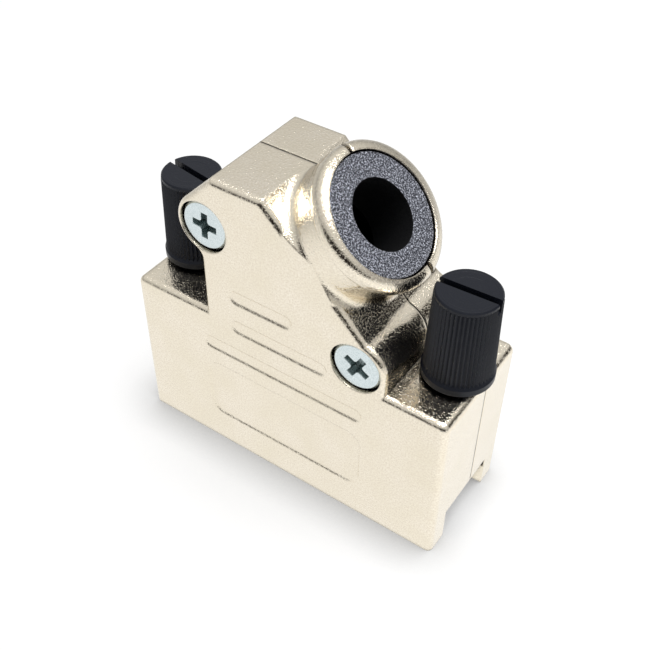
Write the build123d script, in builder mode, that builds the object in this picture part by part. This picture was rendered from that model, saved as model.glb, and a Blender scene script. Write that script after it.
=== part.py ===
from build123d import *
import math
import os

os.makedirs("parts", exist_ok=True)

# A cast metal hood for a 15-way D-sub connector, in millimetres.
# The origin is on the mating end, in the middle. X runs along the connector,
# Y runs towards the back and Z runs up, away from the connector.

# Overall form
hood_width = 39.2
hood_thickness = 14.4
shoulder_height = 20.0
top_rise = 17.3  # this rise and the ones below are measured from the shoulders
wall = 1.4
cover_wall = 1.6
left_wall_x = -9.75
parting_y = 0.9
seam_gap = 0.16
edge_radius = 0.7
shoulder_corner_radius = 0.9
round_flats = 5
boss_wall_blend = 1.2
boss_slope_blend = 1.5

# Closing screws, one on each side of the cable
upper_screw_x = -9.1
upper_screw_rise = 11.2
lower_screw_x = 9.1
lower_screw_rise = 2.1
screw_boss_radius = 3.45
screw_recess_radius = 2.93
screw_recess_depth = 1.9
screw_head_radius = 2.8
screw_head_height = 1.6
screw_head_chamfer = 0.25
cross_length = 3.0
cross_width = 0.8
cross_depth = 1.1
cross_corner = 0.3
cross_taper = 12
upper_cross_turn = -3
lower_cross_turn = -31
screw_radius = 1.5
screw_hole_radius = 1.7
screw_seat_clearance = 0.02
screw_tail_gap = 0.6
post_inset = 0.05

# Cable outlet at 45 degrees
cable_axis_rise = 8.3
slope_distance = 5.1
rim_distance = 10.3
neck_inset = 0.04
neck_blend = 1.0
rim_radius = 7.5
rim_length = 1.7
rim_flare = 0.34
rim_rounding = 0.7
rim_notch_width = 0.5
rim_notch_depth = 1.0
neck_wall = 1.4

# Grommet
cable_radius = 3.65
grommet_radius = 6.2
grommet_clearance = 0.18
grommet_recess = 0.3
grommet_flange = 2.4
grommet_waist_radius = 4.9
collar_thickness = 1.4
grommet_tail = 2.2

# Jackscrews
jackscrew_pitch = 33.32
thread_radius = 1.42
thread_length = 3.9
tip_chamfer = 0.4
rod_radius = 1.2
rod_clearance = 0.3
jackscrew_tip_height = 0.3
jackscrew_travel = 4.5
chamber_radius = 2.45
stop_gap = 0.1
ring_radius = 2.1
ring_thickness = 0.5
ring_mouth = 1.3
ring_clearance = 0.05
groove_radius = 0.85
insert_radius = 1.9
insert_length = 5.0
insert_start = 2.4

# Knobs
knob_height = 10.85
collar_radius = 2.9
collar_height = 0.5
flange_radius = 3.75
flange_height = 0.7
flare_height = 0.45
knob_cap_radius = 3.25
knob_cap_height = 0.45
knob_cap_chamfer = 0.15
rib_count = 48
rib_depth = 0.18
rib_radius_low = 3.6
rib_radius_high = 3.3
knob_slot_width = 0.75
knob_slot_depth = 1.4
left_slot_turn = -9
right_slot_turn = 3

# Mating end
flange_width = 39.14
flange_depth = 12.55
flange_fit = 0.2
flange_slot_base = 2.9
flange_corner_radius = 3.0
flange_slot_height = 1.3
end_notch_half = 4.4
cavity_half_width = 14.8

# Lap joint between the two shells
tongue_thickness = 0.6
tongue_height = 1.0
tongue_clearance = 0.1

# Sunk panels on the front face: three bars by their ends, and a label panel below them
panel_depth = 0.16
panel_draft = 60
bar_height = 1.9
bar_top_rise = 3.75
bar_middle_rise = -0.35
bar_low_rise = -4.5
bar_left_x = -6.4
bar_low_left_x = -10.4
bar_top_right_x = 1.65
bar_middle_right_x = 5.9
bar_low_right_x = 10.2
label_panel_gap = 1.9
label_panel_length = 20.4
label_panel_height = 8.3
label_panel_radius = 1.8

# Values worked out from the ones above
half_thickness = hood_thickness / 2
inner_y = half_thickness - wall
top_height = shoulder_height + top_rise
upper_screw_z = shoulder_height + upper_screw_rise
lower_screw_z = shoulder_height + lower_screw_rise
cable_axis_height = shoulder_height + cable_axis_rise
bar_top_z = shoulder_height + bar_top_rise
bar_middle_z = shoulder_height + bar_middle_rise
bar_low_z = shoulder_height + bar_low_rise
label_panel_z = bar_low_z - bar_height / 2 - label_panel_gap - label_panel_height / 2
jackscrew_x = jackscrew_pitch / 2
neck_radius = half_thickness - neck_inset
right_wall_x = lower_screw_x + screw_boss_radius
slot_top_z = flange_slot_base + flange_slot_height
diagonal = math.sqrt(0.5)
cable_axis = Axis((0, 0, cable_axis_height), (1, 0, 1))
cable_section = Plane(origin=(0, 0, cable_axis_height), x_dir=(1, 0, -1), z_dir=(0, -1, 0))
cable_face = Plane(origin=(0, 0, cable_axis_height), x_dir=(0, 1, 0), z_dir=(1, 0, 1))
closing_points = [(upper_screw_x, upper_screw_z), (lower_screw_x, lower_screw_z)]
jackscrew_points = [(-jackscrew_x, 0), (jackscrew_x, 0)]


# Outline of the hood seen from the front. The left slope is tangent to the upper
# boss, and the right slope is the face that the cable outlet stands on.
left_slope_rise = upper_screw_z - upper_screw_x + screw_boss_radius / diagonal
right_slope_sum = cable_axis_height + slope_distance / diagonal
tangent_x = upper_screw_x - screw_boss_radius * diagonal
tangent_z = upper_screw_z + screw_boss_radius * diagonal
slope_foot_shift = (right_slope_sum - lower_screw_x - lower_screw_z) / 2
top_left = (top_height - left_slope_rise, top_height)
top_right = (right_slope_sum - top_height, top_height)
boss_half_chord = math.sqrt(screw_boss_radius**2 - 2 * slope_foot_shift**2)
boss_meets_slope = (
    lower_screw_x + slope_foot_shift - boss_half_chord * diagonal,
    lower_screw_z + slope_foot_shift + boss_half_chord * diagonal,
)
boss_drop = math.sqrt(screw_boss_radius**2 - (left_wall_x - upper_screw_x) ** 2)
boss_meets_wall = (left_wall_x, upper_screw_z - boss_drop)

with BuildSketch() as outline:
    with BuildLine():
        Polyline(
            (left_wall_x, 0),
            (left_wall_x, upper_screw_z),
            (tangent_x, tangent_z),
            top_left,
            top_right,
            (lower_screw_x + slope_foot_shift, lower_screw_z + slope_foot_shift),
            (right_wall_x, lower_screw_z),
            (right_wall_x, 0),
            close=True,
        )
    make_face()
    with Locations(*closing_points):
        Circle(screw_boss_radius)
    with Locations((0, shoulder_height / 2)):
        Rectangle(hood_width, shoulder_height)
    for corner, radius in (
        (boss_meets_wall, boss_wall_blend),
        (boss_meets_slope, boss_slope_blend),
        ((-hood_width / 2, shoulder_height), shoulder_corner_radius),
        ((hood_width / 2, shoulder_height), shoulder_corner_radius),
    ):
        fillet(outline.vertices().sort_by_distance(corner)[0], radius)


def quarter_round(start, corner, end):
    """Points of a quarter round that replaces a square corner, in a few equal flats."""
    points = []
    for step in range(round_flats + 1):
        turn = math.pi / 2 * step / round_flats
        from_start, from_end = 1 - math.sin(turn), 1 - math.cos(turn)
        points.append(
            tuple(c + from_start * (s - c) + from_end * (e - c) for s, c, e in zip(start, corner, end))
        )
    return points


def inset_outline(inset):
    """The outline moved in by a part of the wall, open at the mating end."""
    with BuildSketch() as shape:
        add(outline.sketch)
        offset(amount=-inset, kind=Kind.INTERSECTION)
        with Locations((0, top_height / 2)):
            Rectangle(2 * cavity_half_width, 2 * top_height, mode=Mode.INTERSECT)
        with Locations((0, shoulder_height / 2 - wall)):
            Rectangle(2 * cavity_half_width, shoulder_height)
    return shape.sketch


# Concave blend round the neck where it leaves the slope, cut off at the faces and the top
with BuildPart() as neck_foot:
    with BuildSketch(cable_section):
        blend_radius = neck_radius + neck_blend
        blend_distance = slope_distance + neck_blend
        with BuildLine():
            Polyline(
                (0, blend_distance),
                (0, slope_distance - wall),
                (blend_radius, slope_distance - wall),
                *quarter_round(
                    (blend_radius, slope_distance),
                    (neck_radius, slope_distance),
                    (neck_radius, blend_distance),
                ),
                close=True,
            )
        make_face()
    revolve(axis=cable_axis)
    with BuildSketch(Plane.XZ.offset(half_thickness)):
        with Locations((0, top_height / 2)):
            Rectangle(hood_width, top_height)
    extrude(amount=-hood_thickness, mode=Mode.INTERSECT)

# The whole outer form with both shells in one, before it is parted
with BuildPart() as envelope:
    with BuildSketch(Plane.XZ.offset(half_thickness)):
        add(outline.sketch)
    extrude(amount=-hood_thickness)
    side_edges = envelope.faces().filter_by(Axis.Y).edges()
    base_edges = side_edges.sort_by(Axis.Z)[:2]
    fillet(side_edges - base_edges, edge_radius)
    add(neck_foot.part)
    # the neck is a turned form, with a thicker rounded rim at its end
    with BuildSketch(cable_section):
        with BuildLine():
            Polyline(
                (0, slope_distance - wall),
                (neck_radius, slope_distance - wall),
                (neck_radius, rim_distance - rim_length),
                (rim_radius, rim_distance - rim_length + rim_flare),
                *quarter_round(
                    (rim_radius, rim_distance - rim_rounding),
                    (rim_radius, rim_distance),
                    (rim_radius - rim_rounding, rim_distance),
                ),
                (0, rim_distance),
                close=True,
            )
        make_face()
    revolve(axis=cable_axis)

# Everything that is hollow inside the closed hood
seat_bottom = rim_distance - grommet_recess - grommet_flange
collar_bottom = seat_bottom - collar_thickness
neck_bore_radius = neck_radius - neck_wall
grommet_seat_radius = grommet_radius + grommet_clearance
collar_hole_radius = grommet_waist_radius + grommet_clearance

with BuildPart() as hollow:
    with BuildSketch(Plane.XZ.offset(inner_y)):
        add(inset_outline(wall))
    extrude(amount=-2 * inner_y)
    with BuildSketch(Plane.XY.offset(-wall)):
        Rectangle(hood_width - 2 * wall, 2 * inner_y)
    extrude(amount=slot_top_z + wall)
    with BuildSketch(Plane.XY.offset(flange_slot_base)):
        RectangleRounded(flange_width + flange_fit, flange_depth + flange_fit, flange_corner_radius)
    extrude(amount=flange_slot_height)
    with BuildSketch(Plane.XY.offset(-wall)):
        Rectangle(hood_width + wall, 2 * end_notch_half)
    extrude(amount=slot_top_z + wall)
    with BuildSketch(Plane.XY.offset(slot_top_z - wall)):
        with Locations(*jackscrew_points):
            Circle(chamber_radius)
    extrude(amount=shoulder_height - cover_wall - slot_top_z + wall)
    with BuildSketch(Plane.XY.offset(slot_top_z)):
        with Locations(*jackscrew_points):
            Circle(rod_radius + rod_clearance)
    extrude(amount=shoulder_height)
    # posts for the closing screws stand in the hollow
    with BuildSketch(Plane.XZ.offset(inner_y)):
        with Locations(*closing_points):
            Circle(screw_boss_radius - post_inset)
    extrude(amount=-2 * inner_y, mode=Mode.SUBTRACT)
    with BuildSketch(cable_section):
        with BuildLine():
            Polyline(
                (0, slope_distance - 2 * wall),
                (neck_bore_radius, slope_distance - 2 * wall),
                (neck_bore_radius, collar_bottom),
                (collar_hole_radius, collar_bottom),
                (collar_hole_radius, seat_bottom),
                (grommet_seat_radius, seat_bottom),
                (grommet_seat_radius, rim_distance + wall),
                (0, rim_distance + wall),
                close=True,
            )
        make_face()
    revolve(axis=cable_axis)

# A short open notch in the rim where the shells meet
with BuildPart() as rim_notch:
    with BuildSketch(cable_face.offset(rim_distance - rim_notch_depth)):
        with Locations((parting_y, 0)):
            Rectangle(rim_notch_width, 2 * rim_radius + wall)
    extrude(amount=rim_notch_depth + wall)

# Sunk panels: three bars with round ends above a label panel
with BuildSketch(Plane.XZ.offset(half_thickness)) as panels:
    for left, right, height in (
        (bar_left_x, bar_top_right_x, bar_top_z),
        (bar_left_x, bar_middle_right_x, bar_middle_z),
        (bar_low_left_x, bar_low_right_x, bar_low_z),
    ):
        with Locations(((left + right) / 2, height)):
            SlotOverall(right - left, bar_height)
    with Locations((0, label_panel_z)):
        RectangleRounded(label_panel_length, label_panel_height, label_panel_radius)

front_limit = Plane.XZ.offset(-parting_y + seam_gap / 2)
rear_limit = Plane.XZ.offset(-parting_y - seam_gap / 2)
screw_seat_y = half_thickness - screw_recess_depth
rabbet_inset = wall - tongue_thickness - tongue_clearance

with BuildPart() as front_shell:
    add(envelope.part)
    add(hollow.part, mode=Mode.SUBTRACT)
    split(bisect_by=front_limit, keep=Keep.TOP)
    extrude(panels.sketch, amount=-panel_depth, taper=panel_draft, mode=Mode.SUBTRACT)
    # rabbet along the inside of the wall, for the tongue of the rear shell
    with BuildSketch(Plane.XZ.offset(-parting_y)):
        add(inset_outline(rabbet_inset))
        with Locations(*closing_points):
            Circle(screw_boss_radius, mode=Mode.SUBTRACT)
        with Locations((0, slot_top_z / 2)):
            Rectangle(hood_width, slot_top_z + 2 * wall, mode=Mode.SUBTRACT)
    extrude(amount=tongue_height + tongue_clearance, mode=Mode.SUBTRACT)
    # the post ends come up to the parting plane, past the seam
    with BuildSketch(Plane.XZ.offset(-parting_y)):
        with Locations(*closing_points):
            Circle(screw_boss_radius - wall / 2)
    extrude(amount=wall)
    with BuildSketch(Plane.XZ.offset(half_thickness)):
        with Locations(*closing_points):
            Circle(screw_recess_radius)
    extrude(amount=-screw_recess_depth, mode=Mode.SUBTRACT)
    with BuildSketch(Plane.XZ.offset(half_thickness)):
        with Locations(*closing_points):
            Circle(screw_hole_radius)
    extrude(amount=-hood_thickness, mode=Mode.SUBTRACT)
    add(rim_notch.part, mode=Mode.SUBTRACT)
front_shell.part.label = "front_shell"
export_step(front_shell.part, "parts/front_shell.step")

with BuildPart() as rear_shell:
    add(envelope.part)
    split(bisect_by=rear_limit, keep=Keep.BOTTOM)
    # tongue that reaches into the rabbet of the front shell
    with BuildSketch(Plane.XZ.offset(-parting_y + tongue_height)):
        add(inset_outline(wall - tongue_thickness))
        add(inset_outline(wall), mode=Mode.SUBTRACT)
        with Locations(*closing_points):
            Circle(screw_boss_radius + tongue_clearance, mode=Mode.SUBTRACT)
        with Locations((0, slot_top_z / 2)):
            Rectangle(hood_width, slot_top_z + 2 * wall + tongue_clearance, mode=Mode.SUBTRACT)
    extrude(amount=-tongue_height - wall)
    add(hollow.part, mode=Mode.SUBTRACT)
    with BuildSketch(Plane.XZ.offset(-parting_y)):
        with Locations(*closing_points):
            Circle(screw_boss_radius - wall / 2)
    extrude(amount=-wall)
    with BuildSketch(Plane.XZ.offset(-parting_y)):
        with Locations(*closing_points):
            Circle(screw_radius + screw_seat_clearance)
    extrude(amount=-(inner_y - parting_y), mode=Mode.SUBTRACT)
    add(rim_notch.part, mode=Mode.SUBTRACT)
rear_shell.part.label = "rear_shell"
export_step(rear_shell.part, "parts/rear_shell.step")

# Grommet: a flange in the rim's seat, a waist in the collar and a tail behind it
grommet_face = rim_distance - grommet_recess
grommet_tail_radius = neck_bore_radius - 2 * grommet_clearance
with BuildPart() as cable_grommet:
    with BuildSketch(cable_section):
        with BuildLine():
            Polyline(
                (cable_radius, collar_bottom - grommet_tail),
                (grommet_tail_radius, collar_bottom - grommet_tail),
                (grommet_tail_radius, collar_bottom),
                (grommet_waist_radius, collar_bottom),
                (grommet_waist_radius, seat_bottom),
                (grommet_radius, seat_bottom),
                (grommet_radius, grommet_face),
                (cable_radius, grommet_face),
                close=True,
            )
        make_face()
    revolve(axis=cable_axis)
cable_grommet.part.label = "cable_grommet"
export_step(cable_grommet.part, "parts/cable_grommet.step")

# Closing screws: low head with a cross recess, driven from the front
for name, (x, z), cross_turn in (
    ("closing_screw_upper", closing_points[0], upper_cross_turn),
    ("closing_screw_lower", closing_points[1], lower_cross_turn),
):
    seat = Plane(origin=(x, -screw_seat_y, z), x_dir=(1, 0, 0), z_dir=(0, -1, 0))
    with BuildPart() as closing_screw:
        with BuildSketch(seat):
            Circle(screw_head_radius)
        extrude(amount=screw_head_height)
        chamfer(closing_screw.faces().sort_by(Axis.Y)[0].edges(), screw_head_chamfer)
        with BuildSketch(seat):
            Circle(screw_radius)
        extrude(amount=-(screw_seat_y + inner_y - screw_tail_gap))
        with BuildSketch(seat.offset(screw_head_height)) as cross:
            Rectangle(cross_length, cross_width, rotation=cross_turn)
            Rectangle(cross_width, cross_length, rotation=cross_turn)
            fillet(cross.vertices().sort_by_distance((0, 0))[:4], cross_corner)
        extrude(amount=-cross_depth, taper=cross_taper, mode=Mode.SUBTRACT)
    closing_screw.part.label = name
    export_step(closing_screw.part, f"parts/{name}.step")


# Jackscrews, each a steel rod with a moulded knob and a retaining ring below the cover
ring_top_z = shoulder_height - cover_wall - stop_gap - jackscrew_travel
ring_low_z = ring_top_z - ring_thickness
groove_low_z = ring_low_z - ring_clearance
groove_top_z = ring_top_z + ring_clearance
insert_low_z = shoulder_height + insert_start
insert_top_z = insert_low_z + insert_length
thread_top_z = jackscrew_tip_height + thread_length
rod_profile = [
    (0, jackscrew_tip_height),
    (thread_radius - tip_chamfer, jackscrew_tip_height),
    (thread_radius, jackscrew_tip_height + tip_chamfer),
    (thread_radius, thread_top_z),
    (rod_radius, thread_top_z),
    (rod_radius, groove_low_z),
    (groove_radius, groove_low_z),
    (groove_radius, groove_top_z),
    (rod_radius, groove_top_z),
    (rod_radius, insert_low_z),
    (insert_radius, insert_low_z),
    (insert_radius, insert_top_z),
    (0, insert_top_z),
]
flange_low_z = shoulder_height + collar_height
barrel_low_z = flange_low_z + flange_height
knob_top_z = shoulder_height + knob_height
barrel_top_z = knob_top_z - knob_cap_height
knob_profile = [
    (0, shoulder_height),
    (collar_radius, shoulder_height),
    (collar_radius, flange_low_z),
    (flange_radius, flange_low_z),
    (flange_radius, barrel_low_z),
    (rib_radius_low - rib_depth, barrel_low_z + flare_height),
    (rib_radius_high - rib_depth, barrel_top_z),
    (knob_cap_radius, barrel_top_z),
    (knob_cap_radius, knob_top_z - knob_cap_chamfer),
    (knob_cap_radius - knob_cap_chamfer, knob_top_z),
    (0, knob_top_z),
]


def ribbed_ring(tip_radius):
    """A closed ring of points, a tip and a root for each rib."""
    points = []
    for step in range(2 * rib_count):
        radius = tip_radius - rib_depth * (step % 2)
        angle = math.pi * step / rib_count
        points.append((radius * math.cos(angle), radius * math.sin(angle)))
    return points


for side, name, slot_turn in ((-1, "left", left_slot_turn), (1, "right", right_slot_turn)):
    centre_x = side * jackscrew_x
    jackscrew_axis = Axis((centre_x, 0, 0), (0, 0, 1))
    section = Plane(origin=(centre_x, 0, 0), x_dir=(1, 0, 0), z_dir=(0, -1, 0))
    level = Plane(origin=(centre_x, 0, 0), z_dir=(0, 0, 1))

    with BuildPart() as jackscrew_rod:
        with BuildSketch(section):
            with BuildLine():
                Polyline(*rod_profile, close=True)
            make_face()
        revolve(axis=jackscrew_axis)
    jackscrew_rod.part.label = f"jackscrew_rod_{name}"
    export_step(jackscrew_rod.part, f"parts/jackscrew_rod_{name}.step")

    with BuildPart() as retaining_ring:
        with BuildSketch(level.offset(ring_low_z)):
            Circle(ring_radius)
            Circle(groove_radius + ring_clearance, mode=Mode.SUBTRACT)
            with Locations((0, -ring_radius)):
                Rectangle(ring_mouth, 2 * ring_radius, mode=Mode.SUBTRACT)
        extrude(amount=ring_thickness)
    retaining_ring.part.label = f"retaining_ring_{name}"
    export_step(retaining_ring.part, f"parts/retaining_ring_{name}.step")

    with BuildPart() as knob:
        with BuildSketch(section):
            with BuildLine():
                Polyline(*knob_profile, close=True)
            make_face()
        revolve(axis=jackscrew_axis)
        with BuildSketch(level.offset(barrel_low_z)):
            with BuildLine():
                Polyline(*ribbed_ring(rib_radius_low), close=True)
            make_face()
        with BuildSketch(level.offset(barrel_top_z)):
            with BuildLine():
                Polyline(*ribbed_ring(rib_radius_high), close=True)
            make_face()
        loft(ruled=True)
        with BuildSketch(level.rotated((0, 0, slot_turn)).offset(knob_top_z)):
            Rectangle(3 * flange_radius, knob_slot_width)
        extrude(amount=-knob_slot_depth, mode=Mode.SUBTRACT)
        add(jackscrew_rod.part, mode=Mode.SUBTRACT)
    knob.part.label = f"knob_{name}"
    export_step(knob.part, f"parts/knob_{name}.step")
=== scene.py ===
import math

import bmesh
import bpy
from mathutils import Euler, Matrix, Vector


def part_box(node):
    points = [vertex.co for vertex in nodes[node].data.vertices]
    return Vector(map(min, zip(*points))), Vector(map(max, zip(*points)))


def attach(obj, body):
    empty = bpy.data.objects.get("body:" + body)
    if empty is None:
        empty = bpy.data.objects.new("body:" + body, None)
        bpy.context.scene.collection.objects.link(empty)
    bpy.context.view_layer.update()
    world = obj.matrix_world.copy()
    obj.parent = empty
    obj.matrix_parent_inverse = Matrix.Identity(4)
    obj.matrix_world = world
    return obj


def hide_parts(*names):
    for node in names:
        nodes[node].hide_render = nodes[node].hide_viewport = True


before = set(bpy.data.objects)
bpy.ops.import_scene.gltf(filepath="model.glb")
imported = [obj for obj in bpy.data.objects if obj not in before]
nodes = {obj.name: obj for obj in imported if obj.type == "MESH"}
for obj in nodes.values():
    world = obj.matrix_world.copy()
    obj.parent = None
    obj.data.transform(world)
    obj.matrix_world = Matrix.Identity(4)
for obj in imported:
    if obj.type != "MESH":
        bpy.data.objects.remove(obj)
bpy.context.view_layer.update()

print("loaded", len(nodes), "nodes")


# Camera, at the photograph's angle
camera = {
    "place": (0.043022, -0.062447, 0.088108),
    "azimuth": 34.130,
    "elevation": 42.926,
    "roll": 0.753,
    "lens": 52.95,
    "sensor": 36.0,
    "clip": (0.005, 10.0),
}


def makeCamera():
    data = bpy.data.cameras.new("hoodCamera")
    data.sensor_width = camera["sensor"]
    data.lens = camera["lens"]
    data.clip_start, data.clip_end = camera["clip"]
    obj = bpy.data.objects.new("hoodCamera", data)
    aim = Euler((0, 0, math.radians(camera["azimuth"]))).to_matrix()
    tilt = Euler((math.radians(90 - camera["elevation"]), 0, 0)).to_matrix()
    roll = Euler((0, 0, math.radians(camera["roll"]))).to_matrix()
    obj.rotation_euler = (aim @ tilt @ roll).to_euler()
    obj.location = camera["place"]
    bpy.context.scene.collection.objects.link(obj)
    bpy.context.scene.camera = obj


makeCamera()
print("camera set")


# Small helpers for node trees
def nodeIn(tree, kind, place, **values):
    node = tree.nodes.new(kind)
    node.location = place
    for name, value in values.items():
        setattr(node, name, value)
    return node


def mathNode(tree, operation, place, a=None, b=None, c=None, clamp=False):
    node = nodeIn(tree, "ShaderNodeMath", place, operation=operation, use_clamp=clamp)
    for socket, value in zip(node.inputs, (a, b, c)):
        if value is None:
            continue
        if isinstance(value, (int, float)):
            socket.default_value = value
        else:
            tree.links.new(value, socket)
    return node.outputs[0]


def addSocket(group, name, inOut, kind="NodeSocketFloat", value=None):
    socket = group.interface.new_socket(name=name, in_out=inOut, socket_type=kind)
    if value is not None:
        socket.default_value = value
    return socket


# Shared effects, as node groups
def makeCastGrain():
    # The fine grain of a plated casting: its height, its specks and faint clouds in the gloss
    group = bpy.data.node_groups.new("castGrain", "ShaderNodeTree")
    addSocket(group, "Grain Size", "INPUT", value=0.0002)
    addSocket(group, "Cloud Size", "INPUT", value=0.003)
    addSocket(group, "Gloss Level", "INPUT", value=0.25)
    addSocket(group, "Gloss Spread", "INPUT", value=0.05)
    addSocket(group, "Height", "OUTPUT")
    addSocket(group, "Speck", "OUTPUT")
    addSocket(group, "Roughness", "OUTPUT")
    addSocket(group, "Cloud", "OUTPUT")
    enter = nodeIn(group, "NodeGroupInput", (-900, 0))
    leave = nodeIn(group, "NodeGroupOutput", (700, 0))
    coords = nodeIn(group, "ShaderNodeTexCoord", (-900, 300))
    fine = nodeIn(group, "ShaderNodeTexNoise", (-400, 250))
    fine.inputs["Detail"].default_value = 2.0
    fine.inputs["Roughness"].default_value = 0.6
    cloud = nodeIn(group, "ShaderNodeTexNoise", (-400, -50))
    cloud.inputs["Detail"].default_value = 3.0
    for texture, size in ((fine, "Grain Size"), (cloud, "Cloud Size")):
        scale = mathNode(group, "DIVIDE", (-650, 0), 1.0, enter.outputs[size])
        group.links.new(coords.outputs["Object"], texture.inputs["Vector"])
        group.links.new(scale, texture.inputs["Scale"])
    both = mathNode(group, "ADD", (-150, 50), fine.outputs["Fac"], cloud.outputs["Fac"])
    swing = mathNode(group, "SUBTRACT", (0, 50), both, 1.0)
    spread = mathNode(group, "MULTIPLY", (150, 50), swing, enter.outputs["Gloss Spread"])
    gloss = mathNode(group, "ADD", (300, 50), spread, enter.outputs["Gloss Level"], clamp=True)
    group.links.new(gloss, leave.inputs["Roughness"])
    # noise by a gain and an offset: steep grains between flats, soft specks and faint clouds
    for name, texture, gain, offset in (
        ("Height", fine, 4.0, -2.0),
        ("Speck", fine, 3.0, -1.0),
        ("Cloud", cloud, 2.4, -0.7),
    ):
        stretched = mathNode(
            group, "MULTIPLY_ADD", (300, 300), texture.outputs["Fac"], gain, offset, clamp=True
        )
        group.links.new(stretched, leave.inputs[name])
    return group


def makeSpeckle():
    # Pale grains and pits in the skin of a black moulding
    group = bpy.data.node_groups.new("speckle", "ShaderNodeTree")
    addSocket(group, "Speck Size", "INPUT", value=0.00025)
    addSocket(group, "Amount", "INPUT", value=0.3)
    addSocket(group, "Mask", "OUTPUT")
    addSocket(group, "Height", "OUTPUT")
    enter = nodeIn(group, "NodeGroupInput", (-900, 0))
    leave = nodeIn(group, "NodeGroupOutput", (600, 0))
    coords = nodeIn(group, "ShaderNodeTexCoord", (-900, 300))
    fine = nodeIn(group, "ShaderNodeTexNoise", (-400, 200))
    fine.inputs["Detail"].default_value = 3.0
    fine.inputs["Roughness"].default_value = 0.75
    group.links.new(coords.outputs["Object"], fine.inputs["Vector"])
    scale = mathNode(group, "DIVIDE", (-650, 100), 1.0, enter.outputs["Speck Size"])
    group.links.new(scale, fine.inputs["Scale"])
    # a larger amount lowers the level of noise at which a grain starts
    start = mathNode(group, "MULTIPLY_ADD", (-200, -50), enter.outputs["Amount"], -0.3, 0.72)
    above = mathNode(group, "SUBTRACT", (0, 100), fine.outputs["Fac"], start)
    mask = mathNode(group, "MULTIPLY", (200, 100), above, 7.0, clamp=True)
    group.links.new(mask, leave.inputs["Mask"])
    group.links.new(fine.outputs["Fac"], leave.inputs["Height"])
    return group


def makeAxisRings():
    # Distance from an axis, the way outwards, the place along it and fine rings round it
    group = bpy.data.node_groups.new("axisRings", "ShaderNodeTree")
    addSocket(group, "Centre", "INPUT", "NodeSocketVector")
    addSocket(group, "Axis", "INPUT", "NodeSocketVector")
    addSocket(group, "Ring Size", "INPUT", value=0.0001)
    addSocket(group, "Distance", "OUTPUT")
    addSocket(group, "Rings", "OUTPUT")
    addSocket(group, "Outward", "OUTPUT", "NodeSocketVector")
    addSocket(group, "Along", "OUTPUT")
    enter = nodeIn(group, "NodeGroupInput", (-900, 0))
    leave = nodeIn(group, "NodeGroupOutput", (600, 0))
    coords = nodeIn(group, "ShaderNodeTexCoord", (-1100, 200))
    away = nodeIn(group, "ShaderNodeVectorMath", (-650, 200), operation="SUBTRACT")
    group.links.new(coords.outputs["Object"], away.inputs[0])
    group.links.new(enter.outputs["Centre"], away.inputs[1])
    flat = nodeIn(group, "ShaderNodeVectorMath", (-450, 200), operation="CROSS_PRODUCT")
    group.links.new(away.outputs[0], flat.inputs[0])
    group.links.new(enter.outputs["Axis"], flat.inputs[1])
    reach = nodeIn(group, "ShaderNodeVectorMath", (-250, 200), operation="LENGTH")
    group.links.new(flat.outputs[0], reach.inputs[0])
    rings = nodeIn(group, "ShaderNodeTexNoise", (0, -100), noise_dimensions="1D")
    rings.inputs["Scale"].default_value = 1.0
    rings.inputs["Detail"].default_value = 2.0
    count = mathNode(group, "DIVIDE", (-200, -100), reach.outputs["Value"], enter.outputs["Ring Size"])
    group.links.new(count, rings.inputs["W"])
    group.links.new(reach.outputs["Value"], leave.inputs["Distance"])
    group.links.new(rings.outputs["Fac"], leave.inputs["Rings"])
    across = nodeIn(group, "ShaderNodeVectorMath", (-250, 400), operation="CROSS_PRODUCT")
    group.links.new(enter.outputs["Axis"], across.inputs[0])
    group.links.new(flat.outputs[0], across.inputs[1])
    outward = nodeIn(group, "ShaderNodeVectorMath", (0, 400), operation="NORMALIZE")
    group.links.new(across.outputs[0], outward.inputs[0])
    group.links.new(outward.outputs[0], leave.inputs["Outward"])
    along = nodeIn(group, "ShaderNodeVectorMath", (-250, 600), operation="DOT_PRODUCT")
    group.links.new(away.outputs[0], along.inputs[0])
    group.links.new(enter.outputs["Axis"], along.inputs[1])
    group.links.new(along.outputs["Value"], leave.inputs["Along"])
    return group


castGrain = makeCastGrain()
speckle = makeSpeckle()
axisRings = makeAxisRings()
print("node groups built")


def newMaterial(name):
    material = bpy.data.materials.new(name)
    material.use_nodes = True
    tree = material.node_tree
    tree.nodes.clear()
    output = nodeIn(tree, "ShaderNodeOutputMaterial", (600, 0))
    shader = nodeIn(tree, "ShaderNodeBsdfPrincipled", (250, 0))
    tree.links.new(shader.outputs[0], output.inputs[0])
    return material, tree, shader


def placeGroup(tree, group, place, values):
    node = nodeIn(tree, "ShaderNodeGroup", place)
    node.node_tree = group
    for name, value in values.items():
        node.inputs[name].default_value = value
    return node


def mixColour(tree, place, factor, low, high):
    node = nodeIn(tree, "ShaderNodeMix", place, data_type="RGBA")
    for socket, value in ((node.inputs[0], factor), (node.inputs[6], low), (node.inputs[7], high)):
        if isinstance(value, tuple):
            socket.default_value = (*value, 1)
        elif isinstance(value, float):
            socket.default_value = value
        else:
            tree.links.new(value, socket)
    return node.outputs[2]


def smoothStep(tree, place, value, limits, results=(0.0, 1.0)):
    # Goes from one result to the other between the two limits
    node = nodeIn(tree, "ShaderNodeMapRange", place, interpolation_type="SMOOTHSTEP")
    for name, number in zip(("From Min", "From Max", "To Min", "To Max"), (*limits, *results)):
        node.inputs[name].default_value = number
    tree.links.new(value, node.inputs["Value"])
    return node.outputs[0]


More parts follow.
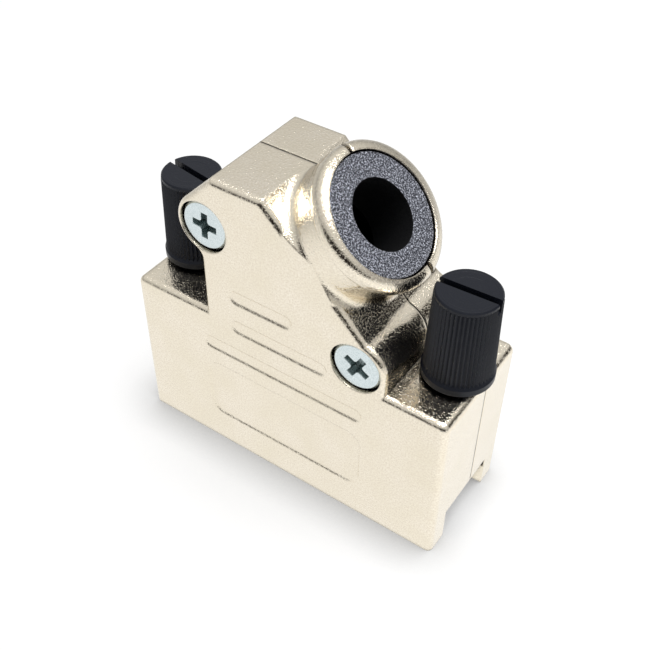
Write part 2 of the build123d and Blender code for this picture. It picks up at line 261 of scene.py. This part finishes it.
def bumpOnEdge(tree, shader, height, finish, lean=None):
    # Grain on top of softened edges, which may lean over as on a fuller round
    edge = nodeIn(tree, "ShaderNodeBevel", (-600, -300), samples=6)
    edge.inputs["Radius"].default_value = finish["edgeRadius"]
    normal = edge.outputs[0]
    if lean is not None:
        leaning = nodeIn(tree, "ShaderNodeVectorMath", (-450, -300), operation="ADD")
        tree.links.new(normal, leaning.inputs[0])
        tree.links.new(lean, leaning.inputs[1])
        unit = nodeIn(tree, "ShaderNodeVectorMath", (-300, -300), operation="NORMALIZE")
        tree.links.new(leaning.outputs[0], unit.inputs[0])
        normal = unit.outputs[0]
    bump = nodeIn(tree, "ShaderNodeBump", (-100, -200))
    bump.inputs["Distance"].default_value = finish["grainDepth"]
    tree.links.new(height, bump.inputs["Height"])
    tree.links.new(normal, bump.inputs["Normal"])
    tree.links.new(bump.outputs[0], shader.inputs["Normal"])


cableOutlet = {"foot": (0, 0, 0.0283), "axis": (0.70710678, 0, 0.70710678)}

nickelFinish = {
    "colour": (0.94, 0.87, 0.74),
    "cloudColour": (0.87, 0.80, 0.64),
    "speckColour": (0.78, 0.70, 0.57),
    # painted shade for gaps and tight corners
    "gapShadeColour": (0.06, 0.05, 0.04),
    "gapReach": 0.0011,
    "gapOpen": (0.24, 0.66),
    # painted shade on the walls of the cavity
    "cavityShadeColour": (0.012, 0.010, 0.008),
    "rimStart": 0.0096,  # along the outlet's axis
    "rimInside": 0.0061,
    "rimLean": 0.42,
    # the cavity: its half depth, its lower part, and its upper part below the slope
    "cavityDepth": 0.00595,
    "lowerCavity": (0.01835, 0.0185),
    "upperCavity": (-0.00845, 0.0112, 0.0180, 0.03595),
    "slopeCavity": 0.0336,
    "grainSize": 0.00019,
    "cloudSize": 0.004,
    "gloss": 0.10,
    "glossSpread": 0.05,
    "grainDepth": 0.000016,
    "edgeRadius": 0.00034,
}


def cavityShadeMask(tree):
    # 1 on the walls of the cavity, which daylight doesn't reach; there the colour is painted shade
    coords = nodeIn(tree, "ShaderNodeTexCoord", (-1800, 900))
    parts = nodeIn(tree, "ShaderNodeSeparateXYZ", (-1600, 900))
    tree.links.new(coords.outputs["Object"], parts.inputs[0])
    x, y, z = parts.outputs[0], parts.outputs[1], parts.outputs[2]
    left, right, low, high = nickelFinish["upperCavity"]
    halfWidth, ceiling = nickelFinish["lowerCavity"]

    def product(*tests):
        result = None
        for operation, value, limit in tests:
            test = mathNode(tree, operation, (-1200, 900), value, limit)
            if result is not None:
                test = mathNode(tree, "MULTIPLY", (-1000, 900), result, test)
            result = test
        return result

    lower = product(
        ("LESS_THAN", mathNode(tree, "ABSOLUTE", (-1400, 800), x), halfWidth),
        ("LESS_THAN", z, ceiling),
    )
    upper = product(
        ("GREATER_THAN", x, left),
        ("LESS_THAN", x, right),
        ("GREATER_THAN", z, low),
        ("LESS_THAN", z, high),
        ("LESS_THAN", mathNode(tree, "ADD", (-1400, 1000), x, z), nickelFinish["slopeCavity"]),
    )
    either = mathNode(tree, "MAXIMUM", (-800, 900), lower, upper)
    away = mathNode(tree, "ABSOLUTE", (-1400, 700), y)
    deep = mathNode(tree, "LESS_THAN", (-1200, 700), away, nickelFinish["cavityDepth"])
    return mathNode(tree, "MULTIPLY", (-600, 900), either, deep)


def placeGrain(tree, finish):
    return placeGroup(tree, castGrain, (-800, 0), {
        "Grain Size": finish["grainSize"],
        "Cloud Size": finish["cloudSize"],
        "Gloss Level": finish["gloss"],
        "Gloss Spread": finish["glossSpread"],
    })


def placeOutlet(tree, place):
    return placeGroup(tree, axisRings, place, {
        "Centre": cableOutlet["foot"],
        "Axis": cableOutlet["axis"],
    })


def makeNickel():
    finish = nickelFinish
    material, tree, shader = newMaterial("satinNickel")
    grain = placeGrain(tree, finish)
    colour = mixColour(tree, (-500, 400), grain.outputs["Cloud"], finish["cloudColour"], finish["colour"])
    colour = mixColour(tree, (-300, 400), grain.outputs["Speck"], finish["speckColour"], colour)
    # painted shade: darker in gaps and tight corners, where ambient occlusion finds them
    gaps = nodeIn(tree, "ShaderNodeAmbientOcclusion", (-600, 200), samples=6)
    gaps.inputs["Distance"].default_value = finish["gapReach"]
    openness = smoothStep(tree, (-300, 200), gaps.outputs["AO"], finish["gapOpen"])
    colour = mixColour(tree, (0, 300), openness, finish["gapShadeColour"], colour)
    # painted shade on the cavity walls
    colour = mixColour(tree, (100, 400), cavityShadeMask(tree), colour, finish["cavityShadeColour"])
    tree.links.new(colour, shader.inputs["Base Color"])
    tree.links.new(grain.outputs["Roughness"], shader.inputs["Roughness"])
    shader.inputs["Metallic"].default_value = 1.0
    # the face of the rim leans outwards, as the end of one full round
    rim = placeOutlet(tree, (-1000, -500))
    ahead = mathNode(tree, "GREATER_THAN", (-800, -500), rim.outputs["Along"], finish["rimStart"])
    wide = mathNode(tree, "GREATER_THAN", (-800, -600), rim.outputs["Distance"], finish["rimInside"])
    atRim = mathNode(tree, "MULTIPLY", (-750, -550), ahead, wide)
    amount = mathNode(tree, "MULTIPLY", (-700, -550), atRim, finish["rimLean"])
    lean = nodeIn(tree, "ShaderNodeVectorMath", (-600, -500), operation="SCALE")
    tree.links.new(rim.outputs["Outward"], lean.inputs[0])
    tree.links.new(amount, lean.inputs["Scale"])
    bumpOnEdge(tree, shader, grain.outputs["Height"], finish, lean.outputs[0])
    return material


zincFinish = {
    "colour": (0.76, 0.83, 0.84),
    "speckColour": (0.60, 0.68, 0.69),
    # painted shade in the cross recess of the head
    "recessShadeColour": (0.38, 0.44, 0.44),
    "grainSize": 0.00014,
    "cloudSize": 0.0011,
    "gloss": 0.26,
    "glossSpread": 0.12,
    "grainDepth": 0.000006,
    "ringSize": 0.00009,
    "ringShare": 0.5,
    "recessReach": 0.0019,  # the cross lies inside this radius
    "recessDepth": (-0.00686, -0.00674),  # behind the face of the head
    "edgeRadius": 0.00006,
}


def makeZinc(name, x, z):
    finish = zincFinish
    material, tree, shader = newMaterial(name)
    grain = placeGrain(tree, finish)
    turned = placeGroup(tree, axisRings, (-800, 400), {
        "Centre": (x, 0, z),
        "Axis": (0, 1, 0),
        "Ring Size": finish["ringSize"],
    })
    coords = nodeIn(tree, "ShaderNodeTexCoord", (-1000, 700))
    parts = nodeIn(tree, "ShaderNodeSeparateXYZ", (-800, 700))
    tree.links.new(coords.outputs["Object"], parts.inputs[0])
    depth = smoothStep(tree, (-600, 700), parts.outputs["Y"], finish["recessDepth"])
    inCross = mathNode(tree, "LESS_THAN", (-600, 500), turned.outputs["Distance"], finish["recessReach"])
    recess = mathNode(tree, "MULTIPLY", (-400, 600), inCross, depth)
    colour = mixColour(tree, (-400, 300), grain.outputs["Speck"], finish["speckColour"], finish["colour"])
    # painted shade in the cross recess
    colour = mixColour(tree, (-100, 400), recess, colour, finish["recessShadeColour"])
    tree.links.new(colour, shader.inputs["Base Color"])
    tree.links.new(grain.outputs["Roughness"], shader.inputs["Roughness"])
    shader.inputs["Metallic"].default_value = 1.0
    rings, grains = turned.outputs["Rings"], grain.outputs["Height"]
    height = mathNode(tree, "MULTIPLY_ADD", (-400, -100), rings, finish["ringShare"], grains)
    bumpOnEdge(tree, shader, height, finish)
    return material


knobFinish = {
    "colour": (0.0080, 0.0098, 0.0160),
    "speckColour": (0.035, 0.040, 0.055),
    "speckSize": 0.0003,
    "speckAmount": 0.2,
    "roughness": 0.36,
    "specular": 0.22,
    "grainDepth": 0.00003,
    "edgeRadius": 0.00003,
    "capRings": (0.0019, 0.0027),  # faint steps in the cap, at these radii
    "ringWidth": 0.00012,
    "ringDepth": 0.6,
}

grommetFinish = {
    "colour": (0.016, 0.018, 0.027),
    "speckColour": (0.74, 0.77, 0.88),
    # painted shade inside the bore
    "boreShadeColour": (0.0012, 0.0014, 0.0020),
    "boreRadius": 0.00366,
    "speckSize": 0.00015,
    "speckAmount": 0.75,
    "roughness": 0.60,
    "specular": 0.4,
    "grainDepth": 0.00006,
    "edgeRadius": 0.00008,
}


def makeMoulding(name, finish, axisX=None):
    material, tree, shader = newMaterial(name)
    specks = placeGroup(tree, speckle, (-800, 0), {
        "Speck Size": finish["speckSize"],
        "Amount": finish["speckAmount"],
    })
    colour = mixColour(tree, (-200, 250), specks.outputs["Mask"], finish["colour"], finish["speckColour"])
    # painted shade: the bore of the grommet is darker than its faces
    if "boreRadius" in finish:
        bore = placeOutlet(tree, (-800, 600))
        outside = mathNode(tree, "GREATER_THAN", (-500, 600), bore.outputs["Distance"], finish["boreRadius"])
        colour = mixColour(tree, (0, 350), outside, finish["boreShadeColour"], colour)
    tree.links.new(colour, shader.inputs["Base Color"])
    shader.inputs["Roughness"].default_value = finish["roughness"]
    shader.inputs["Specular IOR Level"].default_value = finish["specular"]
    height = specks.outputs["Height"]
    if axisX is not None:
        turned = placeGroup(tree, axisRings, (-800, 400), {
            "Centre": (axisX, 0, 0),
            "Axis": (0, 0, 1),
        })
        halfWidth = finish["ringWidth"] / 2
        for radius in finish["capRings"]:
            limits = (radius - halfWidth, radius + halfWidth)
            step = smoothStep(tree, (-600, 300), turned.outputs["Distance"], limits)
            height = mathNode(tree, "MULTIPLY_ADD", (-400, 100), step, finish["ringDepth"], height)
    bumpOnEdge(tree, shader, height, finish)
    return material


steelFinish = {
    "colour": (0.56, 0.56, 0.54),
    "lineSize": 0.00012,
    "lineStretch": (0.05, 0.05, 1.0),  # long round the rod, short along it
    "roughness": 0.28,
    "roughnessSpread": 0.14,
    "lineDepth": 0.000004,
}


def makeTurnedSteel():
    material, tree, shader = newMaterial("turnedSteel")
    coords = nodeIn(tree, "ShaderNodeTexCoord", (-900, 0))
    stretch = nodeIn(tree, "ShaderNodeMapping", (-700, 0))
    stretch.inputs["Scale"].default_value = steelFinish["lineStretch"]
    lines = nodeIn(tree, "ShaderNodeTexNoise", (-500, 0))
    lines.inputs["Scale"].default_value = 1 / steelFinish["lineSize"]
    lines.inputs["Detail"].default_value = 2.0
    tree.links.new(coords.outputs["Object"], stretch.inputs["Vector"])
    tree.links.new(stretch.outputs[0], lines.inputs["Vector"])
    spread = steelFinish["roughnessSpread"]
    low = steelFinish["roughness"] - spread / 2
    gloss = mathNode(tree, "MULTIPLY_ADD", (-200, 0), lines.outputs["Fac"], spread, low)
    bump = nodeIn(tree, "ShaderNodeBump", (-100, -200))
    bump.inputs["Distance"].default_value = steelFinish["lineDepth"]
    tree.links.new(lines.outputs["Fac"], bump.inputs["Height"])
    tree.links.new(gloss, shader.inputs["Roughness"])
    tree.links.new(bump.outputs[0], shader.inputs["Normal"])
    shader.inputs["Base Color"].default_value = (*steelFinish["colour"], 1)
    shader.inputs["Metallic"].default_value = 1.0
    return material


def middleOf(name):
    low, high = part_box(name)
    return (low + high) / 2


satinNickel = makeNickel()
turnedSteel = makeTurnedSteel()
finishes = {
    "front_shell": satinNickel,
    "rear_shell": satinNickel,
    "cable_grommet": makeMoulding("grommetBlack", grommetFinish),
    "retaining_ring_left": turnedSteel,
    "retaining_ring_right": turnedSteel,
}
for name in ("closing_screw_upper", "closing_screw_lower"):
    middle = middleOf(name)
    finishes[name] = makeZinc("brightZinc_" + name, middle.x, middle.z)
for name in ("knob_left", "knob_right"):
    finishes[name] = makeMoulding("knobBlack_" + name, knobFinish, middleOf(name).x)
for name, material in finishes.items():
    nodes[name].material_slots[0].material = material
print("materials placed")


# Jackscrew rods with their threads cut
rodShape = {
    "threadRadius": 0.00142,
    "coreRadius": 0.00108,
    "threadPitch": 0.000635,  # 40 threads to the inch
    "threadLength": 0.0039,
    "threadFade": 0.0004,
    "rootFlat": 0.1,  # in shares of half a pitch
    "flank": 0.78,
    "tipChamfer": 0.0004,
    "shankRadius": 0.0012,
    "grooveRadius": 0.00085,
    "grooveSpace": 0.00005,
    "insertRadius": 0.0019,
    "insertLength": 0.005,
    "around": 48,
    "rowsPerTurn": 12,
    "sharpAngle": 50,
}


def threadRadiusAt(height, turn):
    # 60 degree threads with small flats, started and ended smoothly
    phase = (height / rodShape["threadPitch"] - turn) % 1.0
    rise = (abs(phase - 0.5) * 2 - rodShape["rootFlat"]) / rodShape["flank"]
    rise = min(max(rise, 0.0), 1.0)
    full = rodShape["threadRadius"] - rodShape["coreRadius"]
    end = min((rodShape["threadLength"] - height) / rodShape["threadFade"], 1.0)
    radius = rodShape["coreRadius"] + full * rise * end
    return min(radius, rodShape["threadRadius"] - rodShape["tipChamfer"] + height)


def makeRod(side):
    low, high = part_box("jackscrew_rod_" + side)
    ringLow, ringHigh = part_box("retaining_ring_" + side)
    centreX = (low.x + high.x) / 2
    around = rodShape["around"]
    form = bmesh.new()
    rows = []

    def addRow(z, radiusAt):
        row = []
        for step in range(around):
            angle = 2 * math.pi * step / around
            radius = radiusAt(step / around)
            x, y = centreX + radius * math.cos(angle), radius * math.sin(angle)
            row.append(form.verts.new((x, y, z)))
        rows.append(row)

    rowGap = rodShape["threadPitch"] / rodShape["rowsPerTurn"]
    count = int(rodShape["threadLength"] / rowGap)
    for step in range(count + 1):
        height = rodShape["threadLength"] * step / count
        addRow(low.z + height, lambda turn: threadRadiusAt(height, turn))
    grooveLow = ringLow.z - rodShape["grooveSpace"]
    grooveHigh = ringHigh.z + rodShape["grooveSpace"]
    insertLow = high.z - rodShape["insertLength"]
    for z, radius in (
        (low.z + rodShape["threadLength"], rodShape["shankRadius"]),
        (grooveLow, rodShape["shankRadius"]),
        (grooveLow, rodShape["grooveRadius"]),
        (grooveHigh, rodShape["grooveRadius"]),
        (grooveHigh, rodShape["shankRadius"]),
        (insertLow, rodShape["shankRadius"]),
        (insertLow, rodShape["insertRadius"]),
        (high.z, rodShape["insertRadius"]),
    ):
        addRow(z, lambda turn: radius)
    for below, above in zip(rows, rows[1:]):
        for step in range(around):
            after = (step + 1) % around
            form.faces.new((below[step], below[after], above[after], above[step]))
    form.faces.new(list(reversed(rows[0])))
    form.faces.new(rows[-1])
    mesh = bpy.data.meshes.new("threadedRod_" + side)
    form.to_mesh(mesh)
    form.free()
    for face in mesh.polygons:
        face.use_smooth = True
    mesh.set_sharp_from_angle(angle=math.radians(rodShape["sharpAngle"]))
    mesh.materials.append(turnedSteel)
    rod = bpy.data.objects.new("threadedRod_" + side, mesh)
    bpy.context.scene.collection.objects.link(rod)
    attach(rod, side + "_jackscrew")
    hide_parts("jackscrew_rod_" + side)


for side in ("left", "right"):
    makeRod(side)
print("threaded rods built")


# Stage and light
stage = {
    "floorHalf": 2.0,
    "floorColour": (0.90, 0.90, 0.90),
    "floorShade": 0.50,  # share of the floor's light that shadows take away
    "floorGlow": 0.555,
    "contactReach": 0.005,
    "contactShade": 0.55,
    "brightSide": (0.01, 0.035),  # painted light: in reflections the table glows brighter to the right of the hood
    "brightGain": 0.14,
    "tableReach": (0.045, 0.26),  # from here on it is plain white, and dimmer in reflections
    "farLevel": 0.62,
    "hoodHalf": (0.0170, 0.0048),  # the painted shadow under the hood, seen in reflections
    "hoodShade": 0.002,
    "ambient": 0.44,
    "skyRise": (0.1, 0.7),  # heights between which the sky gets lighter
    "skyLow": 0.44,
    "skyHigh": 0.78,
    "zenithRise": (0.80, 0.92),
    "zenith": 0.18,  # added overhead, where a bright ceiling is mirrored
}
softbox = {"place": (0.07, 0.05, 0.62), "aim": (0, 0, 0.015), "size": 0.32, "power": 2.9}
# Sheets seen only in reflections, which paint dark reflections round the front and right: for each column
# its near edge, its fold and its top
darkReflectionColour = (0.03, 0.026, 0.024)
darkReflectionFront = (
    ((-0.11, -0.15, 0.0005), (-0.30, -0.42, 0.0005), (-0.30, -0.42, 0.14)),
    ((-0.02, -0.16, 0.0005), (-0.05, -0.46, 0.0005), (-0.05, -0.46, 0.20)),
    ((0.08, -0.14, 0.0005), (0.22, -0.40, 0.0005), (0.22, -0.40, 0.25)),
    ((0.13, -0.09, 0.0005), (0.38, -0.27, 0.0005), (0.38, -0.27, 0.20)),
    ((0.20, -0.055, 0.0005), (0.46, -0.13, 0.0005), (0.46, -0.13, 0.06)),
)
# and a sheet behind on the right, seen only in reflections, which paints a dark reflection
darkReflectionBack = (
    ((0.42, 0.24, 0.0), (0.40, 0.24, 0.22)),
    ((0.33, 0.36, 0.0), (0.34, 0.35, 0.275)),
    ((0.24, 0.42, 0.0), (0.25, 0.40, 0.24)),
)


def plainSheet(name, corners):
    mesh = bpy.data.meshes.new(name)
    form = bmesh.new()
    for before, after in zip(corners, corners[1:]):
        for step in range(len(before) - 1):
            square = (before[step], after[step], after[step + 1], before[step + 1])
            form.faces.new([form.verts.new(corner) for corner in square])
    form.to_mesh(mesh)
    form.free()
    sheet = bpy.data.objects.new(name, mesh)
    bpy.context.scene.collection.objects.link(sheet)
    material = bpy.data.materials.new(name)
    material.use_nodes = True
    material.node_tree.nodes.clear()
    mesh.materials.append(material)
    return sheet, material.node_tree


def splitRays(tree):
    # Rays that see straight, rays mirrored in gloss, and all other rays
    rays = nodeIn(tree, "ShaderNodeLightPath", (-900, 400))
    camera, through = rays.outputs["Is Camera Ray"], rays.outputs["Is Transmission Ray"]
    straight = mathNode(tree, "ADD", (-600, 400), camera, through, clamp=True)
    mirrored = rays.outputs["Is Glossy Ray"]
    either = mathNode(tree, "ADD", (-400, 500), straight, mirrored, clamp=True)
    other = mathNode(tree, "SUBTRACT", (-200, 500), 1.0, either)
    return straight, mirrored, other


def makeFloor():
    half = stage["floorHalf"]
    corners = (((-half, -half, 0), (-half, half, 0)), ((half, -half, 0), (half, half, 0)))
    floor, tree = plainSheet("paleFloor", corners)
    output = nodeIn(tree, "ShaderNodeOutputMaterial", (1200, 0))
    matt = nodeIn(tree, "ShaderNodeBsdfDiffuse", (600, 100))
    matt.inputs["Color"].default_value = (*stage["floorColour"], 1)
    glow = nodeIn(tree, "ShaderNodeEmission", (600, -100))
    straight, mirrored, other = splitRays(tree)
    coords = nodeIn(tree, "ShaderNodeTexCoord", (-1200, 0))
    parts = nodeIn(tree, "ShaderNodeSeparateXYZ", (-1000, 0))
    tree.links.new(coords.outputs["Object"], parts.inputs[0])
    reach = nodeIn(tree, "ShaderNodeVectorMath", (-800, -250), operation="LENGTH")
    tree.links.new(coords.outputs["Object"], reach.inputs[0])
    far = smoothStep(tree, (-200, -250), reach.outputs["Value"], stage["tableReach"])

    # in reflections it is a plain pale table with a painted shadow under the hood and painted light to its
    # right
    beside = []  # distance outside the hood's foot along X and Y
    for axis, halfSize in zip("XY", stage["hoodHalf"]):
        away = mathNode(tree, "ABSOLUTE", (-800, 0), parts.outputs[axis])
        out = mathNode(tree, "SUBTRACT", (-650, 0), away, halfSize)
        beside.append(mathNode(tree, "MAXIMUM", (-500, 0), out, 0.0))
    outside = mathNode(tree, "ADD", (-350, 0), *beside)
    foot = smoothStep(tree, (-200, 0), outside, (0.0, stage["hoodShade"]))
    table = mathNode(tree, "MULTIPLY_ADD", (-100, -200), far, stage["farLevel"] - 1, 1.0)
    # painted light, brighter to the right of the hood, seen only in reflections
    gain = (1.0, 1.0 + stage["brightGain"])
    side = smoothStep(tree, (-400, -600), parts.outputs["X"], stage["brightSide"], gain)
    level = mathNode(tree, "MULTIPLY", (-100, -300), table, side)
    level = mathNode(tree, "MULTIPLY", (0, -100), foot, level)
    inGloss = mathNode(tree, "MULTIPLY", (200, -100), level, mirrored)

    # seen straight it glows in part, with a soft contact shade, and far off it is white
    contact = nodeIn(tree, "ShaderNodeAmbientOcclusion", (0, -400), samples=8)
    contact.inputs["Distance"].default_value = stage["contactReach"]
    shade, base = stage["contactShade"], stage["floorGlow"]
    seen = mathNode(tree, "MULTIPLY_ADD", (200, -400), contact.outputs["AO"], shade, base - shade)
    seen = mathNode(tree, "MULTIPLY_ADD", (300, -400), far, 1 - base, seen)
    strength = mathNode(tree, "MULTIPLY_ADD", (400, -100), straight, seen, inGloss)
    tree.links.new(strength, glow.inputs["Strength"])

    # the rest is matt and takes the shadows
    shade = stage["floorShade"]
    share = mathNode(tree, "MULTIPLY_ADD", (100, 300), far, -shade, shade)
    share = mathNode(tree, "MULTIPLY", (200, 300), straight, share)
    share = mathNode(tree, "ADD", (400, 350), share, other)
    nothing = nodeIn(tree, "ShaderNodeEmission", (600, 250))
    nothing.inputs["Strength"].default_value = 0.0
    mixed = nodeIn(tree, "ShaderNodeMixShader", (800, 100))
    tree.links.new(share, mixed.inputs[0])
    tree.links.new(nothing.outputs[0], mixed.inputs[1])
    tree.links.new(matt.outputs[0], mixed.inputs[2])
    both = nodeIn(tree, "ShaderNodeAddShader", (1000, 0))
    tree.links.new(mixed.outputs[0], both.inputs[0])
    tree.links.new(glow.outputs[0], both.inputs[1])
    tree.links.new(both.outputs[0], output.inputs[0])
    floor.active_material.cycles.emission_sampling = "NONE"


def makeSky():
    world = bpy.data.worlds.new("studioSky")
    bpy.context.scene.world = world
    world.use_nodes = True
    tree = world.node_tree
    tree.nodes.clear()
    output = nodeIn(tree, "ShaderNodeOutputWorld", (900, 0))
    sky = nodeIn(tree, "ShaderNodeBackground", (600, 0))
    sky.inputs["Color"].default_value = (1, 1, 1, 1)
    straight, mirrored, other = splitRays(tree)
    coords = nodeIn(tree, "ShaderNodeTexCoord", (-900, -200))
    parts = nodeIn(tree, "ShaderNodeSeparateXYZ", (-700, -200))
    tree.links.new(coords.outputs["Generated"], parts.inputs[0])
    height = parts.outputs["Z"]
    levels = (stage["skyLow"], stage["skyHigh"])
    rise = smoothStep(tree, (-400, -200), height, stage["skyRise"], levels)
    top = smoothStep(tree, (-400, -400), height, stage["zenithRise"], (0.0, stage["zenith"]))
    level = mathNode(tree, "ADD", (-200, -300), rise, top)
    inGloss = mathNode(tree, "MULTIPLY", (-100, 0), level, mirrored)
    seen = mathNode(tree, "ADD", (100, 100), straight, inGloss)
    level = mathNode(tree, "MULTIPLY_ADD", (300, 100), other, stage["ambient"], seen)
    tree.links.new(level, sky.inputs["Strength"])
    tree.links.new(sky.outputs[0], output.inputs[0])
    world.cycles.sampling_method = "NONE"


def makeSoftbox():
    data = bpy.data.lights.new("softbox", "AREA")
    data.shape = "SQUARE"
    data.size = softbox["size"]
    data.energy = softbox["power"]
    lamp = bpy.data.objects.new("softbox", data)
    lamp.location = softbox["place"]
    towards = Vector(softbox["aim"]) - lamp.location
    lamp.rotation_euler = towards.to_track_quat("-Z", "Y").to_euler()
    bpy.context.scene.collection.objects.link(lamp)


def makeDarkSheet(name, corners):
    # Seen only in the plating: a painted dark reflection, which draws the dark lines along the rounded edges
    sheet, tree = plainSheet(name, corners)
    output = nodeIn(tree, "ShaderNodeOutputMaterial", (300, 0))
    reflectedDark = nodeIn(tree, "ShaderNodeBsdfDiffuse", (0, 0))
    reflectedDark.inputs["Color"].default_value = (*darkReflectionColour, 1)
    tree.links.new(reflectedDark.outputs[0], output.inputs[0])
    sheet.visible_camera = False
    sheet.visible_diffuse = False
    sheet.visible_shadow = False
    sheet.visible_transmission = False


makeFloor()
makeSky()
makeSoftbox()
makeDarkSheet("darkReflectionFront", darkReflectionFront)
makeDarkSheet("darkReflectionBack", darkReflectionBack)
bpy.context.scene.view_settings.view_transform = "Standard"
print("stage and light set")
